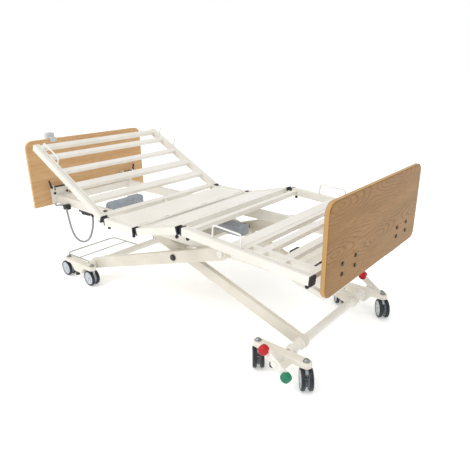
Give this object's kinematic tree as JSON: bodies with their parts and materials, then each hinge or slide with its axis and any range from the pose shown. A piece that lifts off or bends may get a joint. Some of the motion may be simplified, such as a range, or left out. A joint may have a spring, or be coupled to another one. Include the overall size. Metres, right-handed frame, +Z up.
{
  "type": "adjustable hospital bed",
  "caption": "Adjustable care bed: scissor lift on castored bases, hinged deck sections, wooden end boards, pedal brake and a hand control on a cord.",
  "frame": {"origin": "on the floor, at the middle of the bed's length and width, with the casters standing on it", "axes": "+X towards the foot end, +Y towards the left side of a person lying on the bed, +Z up"},
  "size_m": [2.2004, 0.986, 0.892],
  "materials": {
    "enamelled_steel": "satin ivory powder coat",
    "enamelled_casting": "satin ivory powder coat on a casting",
    "enamelled_sheet": "satin ivory powder coat on sheet steel",
    "rack_wire": "grey powder-coated wire",
    "retainer_wire": "white powder-coated wire",
    "footboard_oak": "oak-patterned laminate, satin",
    "headboard_oak": "oak-patterned laminate, satin",
    "dark_bolts": "dark zinc plate",
    "black_nylon": "moulded black nylon",
    "black_motor": "moulded black housing",
    "grey_motor": "moulded grey housing",
    "bright_rod": "bright steel rod",
    "handset_shell": "moulded pale grey housing",
    "cord_sheath": "grey flexible sheath",
    "roller_nylon": "white nylon",
    "red_rubber": "red rubber",
    "green_rubber": "green rubber",
    "brake_foot": "grey rubber",
    "caster_body": "pale grey nylon",
    "caster_wheel": "black tread on pale grey discs"
  },
  "bodies": {
    "foot_base": {"foot_crossbar": "enamelled_steel", "foot_yokes": "enamelled_casting"},
    "inner_arms": {"inner_arms": "enamelled_steel", "inner_cross_plate": "enamelled_steel"},
    "track_rollers": {"track_rollers": "roller_nylon"},
    "outer_arms": {"outer_arms": "enamelled_steel", "outer_cross_plate": "enamelled_steel", "scissor_pivot_bolts": "dark_bolts"},
    "head_base": {"head_crossbar": "enamelled_steel", "head_yokes": "enamelled_casting", "base_wire_rack": "rack_wire"},
    "main_frame": {"main_frame": "enamelled_steel", "seat_end_caps": "black_nylon", "seat_pan": "enamelled_sheet", "footboard": "footboard_oak", "headboard": "headboard_oak", "board_bolts": "dark_bolts", "board_brackets": "enamelled_steel", "lift_motor": "black_motor", "knee_motor": "grey_motor", "backrest_motor": "grey_motor", "handset": "handset_shell", "handset_cord": "cord_sheath", "cord_fittings": "black_nylon"},
    "backrest": {"backrest_frame": "enamelled_steel", "backrest_slats": "enamelled_sheet", "backrest_end_caps": "black_nylon", "backrest_retainers": "retainer_wire"},
    "thigh": {"thigh_frame": "enamelled_steel", "thigh_pan": "enamelled_sheet", "thigh_end_caps": "black_nylon"},
    "calf": {"calf_frame": "enamelled_steel", "calf_slats": "enamelled_sheet", "calf_end_caps": "black_nylon", "calf_retainers": "retainer_wire"},
    "lift_rod": {"lift_rod": "bright_rod"},
    "knee_rod": {"knee_rod": "bright_rod"},
    "backrest_rod": {"backrest_rod": "bright_rod"},
    "latch_levers": {"latch_levers": "black_nylon"},
    "brake_pedals": {"brake_linkage": "enamelled_steel", "red_pedal_pads": "red_rubber", "green_pedal_pads": "green_rubber"},
    "foot_brake_feet": {"foot_brake_feet": "brake_foot"},
    "head_brake_feet": {"head_brake_feet": "brake_foot"},
    "caster_fork_foot_right_outer": {"caster_fork_foot_right_outer": "caster_body"},
    "caster_wheels_foot_right_outer": {"caster_wheels_foot_right_outer": "caster_wheel"},
    "caster_fork_foot_right_inner": {"caster_fork_foot_right_inner": "caster_body"},
    "caster_wheels_foot_right_inner": {"caster_wheels_foot_right_inner": "caster_wheel"},
    "caster_fork_foot_left_outer": {"caster_fork_foot_left_outer": "caster_body"},
    "caster_wheels_foot_left_outer": {"caster_wheels_foot_left_outer": "caster_wheel"},
    "caster_fork_foot_left_inner": {"caster_fork_foot_left_inner": "caster_body"},
    "caster_wheels_foot_left_inner": {"caster_wheels_foot_left_inner": "caster_wheel"},
    "caster_fork_head_right_outer": {"caster_fork_head_right_outer": "caster_body"},
    "caster_wheels_head_right_outer": {"caster_wheels_head_right_outer": "caster_wheel"},
    "caster_fork_head_right_inner": {"caster_fork_head_right_inner": "caster_body"},
    "caster_wheels_head_right_inner": {"caster_wheels_head_right_inner": "caster_wheel"},
    "caster_fork_head_left_outer": {"caster_fork_head_left_outer": "caster_body"},
    "caster_wheels_head_left_outer": {"caster_wheels_head_left_outer": "caster_wheel"},
    "caster_fork_head_left_inner": {"caster_fork_head_left_inner": "caster_body"},
    "caster_wheels_head_left_inner": {"caster_wheels_head_left_inner": "caster_wheel"}
  },
  "joints": [
    {"name": "lift", "type": "hinge", "parent": "foot_base", "child": "inner_arms", "pos_m": [0.887, 0, 0.11], "axis": [0, 1, 0], "range_deg": [-9.5, 13.4]},
    {"name": "outer_arms_turn", "type": "hinge", "parent": "inner_arms", "child": "outer_arms", "pos_m": [0.13207, 0, 0.34948], "axis": [0, 1, 0], "range_deg": [-26.9, 19.1]},
    {"name": "head_base_turn", "type": "hinge", "parent": "outer_arms", "child": "head_base", "pos_m": [-0.62285, 0, 0.11], "axis": [0, 1, 0], "range_deg": [-9.6, 13.5]},
    {"name": "main_frame_turn", "type": "hinge", "parent": "outer_arms", "child": "main_frame", "pos_m": [0.46283, 0, 0.4544], "axis": [0, 1, 0], "range_deg": [-9.6, 13.5]},
    {"name": "track_roller_spin", "type": "hinge", "parent": "inner_arms", "child": "track_rollers", "pos_m": [-0.19868, 0, 0.4544], "axis": [0, 1, 0], "continuous": true},
    {"name": "lift_rod_slide", "type": "slide", "parent": "main_frame", "child": "lift_rod", "axis": [1, 0, 0], "range_m": [-0.0157, 0.022]},
    {"name": "backrest_tilt", "type": "hinge", "parent": "main_frame", "child": "backrest", "pos_m": [-0.253, 0, 0.518], "axis": [0, 1, 0], "range_deg": [-27.6, 37.4]},
    {"name": "backrest_rod_slide", "type": "slide", "parent": "main_frame", "child": "backrest_rod", "axis": [-1, 0, 0], "range_m": [-0.0585, 0.079]},
    {"name": "thigh_tilt", "type": "hinge", "parent": "main_frame", "child": "thigh", "pos_m": [0.015, 0, 0.518], "axis": [0, -1, 0], "range_deg": [-13.9, 21]},
    {"name": "calf_tilt", "type": "hinge", "parent": "thigh", "child": "calf", "pos_m": [0.34401, 0, 0.5747], "axis": [0, -1, 0], "range_deg": [-27, 18]},
    {"name": "knee_rod_slide", "type": "slide", "parent": "main_frame", "child": "knee_rod", "axis": [1, 0, 0], "range_m": [-0.0177, 0.0267]},
    {"name": "brake_pedal_turn", "type": "hinge", "parent": "foot_base", "child": "brake_pedals", "pos_m": [0.887, 0, 0.11], "axis": [0, 1, 0], "range_deg": [-70, 0]},
    {"name": "foot_brake_press", "type": "slide", "parent": "foot_base", "child": "foot_brake_feet", "axis": [0, 0, -1], "range_m": [0, 0.0201]},
    {"name": "head_brake_press", "type": "slide", "parent": "head_base", "child": "head_brake_feet", "axis": [0, 0, -1], "range_m": [0, 0.0201]},
    {"name": "latch_levers_turn", "type": "hinge", "parent": "main_frame", "child": "latch_levers", "pos_m": [-1.008, 0, 0.548], "axis": [0, 1, 0], "range_deg": [0, 24]},
    {"name": "swivel_foot_right_outer", "type": "hinge", "parent": "foot_base", "child": "caster_fork_foot_right_outer", "pos_m": [0.994, -0.388, 0.1], "axis": [0, 0, 1], "continuous": true},
    {"name": "roll_foot_right_outer", "type": "hinge", "parent": "caster_fork_foot_right_outer", "child": "caster_wheels_foot_right_outer", "pos_m": [1.003, -0.39872, 0.05], "axis": [-0.766, -0.6428, 0], "continuous": true},
    {"name": "swivel_foot_right_inner", "type": "hinge", "parent": "foot_base", "child": "caster_fork_foot_right_inner", "pos_m": [0.74, -0.388, 0.1], "axis": [0, 0, 1], "continuous": true},
    {"name": "roll_foot_right_inner", "type": "hinge", "parent": "caster_fork_foot_right_inner", "child": "caster_wheels_foot_right_inner", "pos_m": [0.749, -0.39872, 0.05], "axis": [-0.766, -0.6428, 0], "continuous": true},
    {"name": "swivel_foot_left_outer", "type": "hinge", "parent": "foot_base", "child": "caster_fork_foot_left_outer", "pos_m": [0.994, 0.388, 0.1], "axis": [0, 0, 1], "continuous": true},
    {"name": "roll_foot_left_outer", "type": "hinge", "parent": "caster_fork_foot_left_outer", "child": "caster_wheels_foot_left_outer", "pos_m": [1.003, 0.37728, 0.05], "axis": [-0.766, -0.6428, 0], "continuous": true},
    {"name": "swivel_foot_left_inner", "type": "hinge", "parent": "foot_base", "child": "caster_fork_foot_left_inner", "pos_m": [0.74, 0.388, 0.1], "axis": [0, 0, 1], "continuous": true},
    {"name": "roll_foot_left_inner", "type": "hinge", "parent": "caster_fork_foot_left_inner", "child": "caster_wheels_foot_left_inner", "pos_m": [0.749, 0.37728, 0.05], "axis": [-0.766, -0.6428, 0], "continuous": true},
    {"name": "swivel_head_right_outer", "type": "hinge", "parent": "head_base", "child": "caster_fork_head_right_outer", "pos_m": [-0.81, -0.388, 0.1], "axis": [0, 0, 1], "continuous": true},
    {"name": "roll_head_right_outer", "type": "hinge", "parent": "caster_fork_head_right_outer", "child": "caster_wheels_head_right_outer", "pos_m": [-0.824, -0.388, 0.05], "axis": [0, 1, 0], "continuous": true},
    {"name": "swivel_head_right_inner", "type": "hinge", "parent": "head_base", "child": "caster_fork_head_right_inner", "pos_m": [-0.556, -0.388, 0.1], "axis": [0, 0, 1], "continuous": true},
    {"name": "roll_head_right_inner", "type": "hinge", "parent": "caster_fork_head_right_inner", "child": "caster_wheels_head_right_inner", "pos_m": [-0.57, -0.388, 0.05], "axis": [0, 1, 0], "continuous": true},
    {"name": "swivel_head_left_outer", "type": "hinge", "parent": "head_base", "child": "caster_fork_head_left_outer", "pos_m": [-0.81, 0.388, 0.1], "axis": [0, 0, 1], "continuous": true},
    {"name": "roll_head_left_outer", "type": "hinge", "parent": "caster_fork_head_left_outer", "child": "caster_wheels_head_left_outer", "pos_m": [-0.824, 0.388, 0.05], "axis": [0, 1, 0], "continuous": true},
    {"name": "swivel_head_left_inner", "type": "hinge", "parent": "head_base", "child": "caster_fork_head_left_inner", "pos_m": [-0.556, 0.388, 0.1], "axis": [0, 0, 1], "continuous": true},
    {"name": "roll_head_left_inner", "type": "hinge", "parent": "caster_fork_head_left_inner", "child": "caster_wheels_head_left_inner", "pos_m": [-0.57, 0.388, 0.05], "axis": [0, 1, 0], "continuous": true}
  ],
  "couplings": [
    {"joint": "outer_arms_turn", "follows": "lift", "ratio": -2},
    {"joint": "head_base_turn", "follows": "lift", "ratio": 1},
    {"joint": "main_frame_turn", "follows": "lift", "ratio": 1},
    {"joint": "lift_rod_slide", "follows": "lift", "m_per_rad": 0.0915},
    {"joint": "backrest_rod_slide", "follows": "backrest_tilt", "m_per_rad": 0.12},
    {"joint": "calf_tilt", "follows": "thigh_tilt", "ratio": -1.28},
    {"joint": "knee_rod_slide", "follows": "thigh_tilt", "m_per_rad": 0.0726},
    {"joint": "foot_brake_press", "follows": "brake_pedal_turn", "m_per_rad": -0.01637},
    {"joint": "head_brake_press", "follows": "brake_pedal_turn", "m_per_rad": -0.01637}
  ]
}
